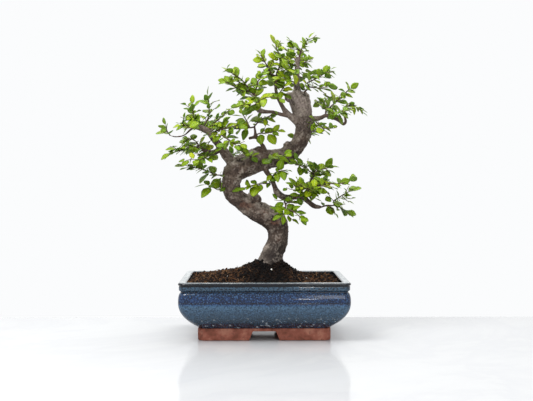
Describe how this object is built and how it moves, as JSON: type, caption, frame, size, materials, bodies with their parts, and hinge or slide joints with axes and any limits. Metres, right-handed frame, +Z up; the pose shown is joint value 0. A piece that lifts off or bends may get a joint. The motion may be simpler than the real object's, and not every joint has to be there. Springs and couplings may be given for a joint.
{
  "type": "bonsai tree in a pot",
  "caption": "S-curved small-leaved elm bonsai with leafy shoots, growing in soil in a rectangular blue glazed pot on a bare clay foot.",
  "frame": {"origin": "on the table, under the middle of the whole plant and pot", "axes": "+Z up, +Y away from the front, +X to the right as seen from the front"},
  "size_m": [0.2609, 0.15, 0.3756],
  "materials": {
    "glazed_stoneware": "glossy mottled blue glaze; the foot is bare red clay",
    "soil": "coarse, moist, brown",
    "drain_mesh": "matt black",
    "bark": "rough grey-brown bark",
    "foliage": "thin glossy green leaves on brown twigs"
  },
  "bodies": {
    "root": {"pot": "glazed_stoneware", "soil": "soil", "drain_mesh_left": "drain_mesh", "drain_mesh_right": "drain_mesh", "trunk": "bark", "branch_left_low": "bark", "branch_upper_left": "bark", "branch_middle": "bark", "branch_right": "bark", "branch_right_low": "bark", "shoot_crown_top": "foliage", "shoot_crown_left": "foliage", "shoot_crown_back": "foliage", "shoot_crown_front": "foliage", "shoot_crown_right": "foliage", "shoot_crown_right_back": "foliage", "shoot_crown_centre": "foliage", "shoot_upper_left_top": "foliage", "shoot_upper_left_rise": "foliage", "shoot_upper_left_right": "foliage", "shoot_upper_left_back": "foliage", "shoot_upper_left_front": "foliage", "shoot_reach_tip": "foliage", "shoot_reach_low": "foliage", "shoot_reach_up": "foliage", "shoot_reach_back": "foliage", "shoot_reach_front": "foliage", "shoot_left_tip": "foliage", "shoot_left_rise_outer": "foliage", "shoot_left_rise_inner": "foliage", "shoot_left_inner": "foliage", "shoot_left_front": "foliage", "shoot_left_back": "foliage", "shoot_left_front_outer": "foliage", "shoot_low_left_tip": "foliage", "shoot_low_left_back": "foliage", "shoot_low_left_front": "foliage", "shoot_elbow_left": "foliage", "shoot_elbow_small": "foliage", "shoot_front_left": "foliage", "shoot_front_right": "foliage", "shoot_gap": "foliage", "shoot_middle_left": "foliage", "shoot_middle_right": "foliage", "shoot_middle_top": "foliage", "shoot_right_twig": "foliage", "shoot_right_tip": "foliage", "shoot_right_back": "foliage", "shoot_right_under": "foliage", "shoot_right_front": "foliage", "shoot_low_right_tip": "foliage", "shoot_low_right_top": "foliage", "shoot_low_right_outer": "foliage", "shoot_low_right_back": "foliage", "shoot_low_right_front": "foliage", "shoot_stem_front": "foliage", "shoot_elbow_front": "foliage", "shoot_back_low": "foliage", "shoot_back_right": "foliage"}
  },
  "joints": []
}
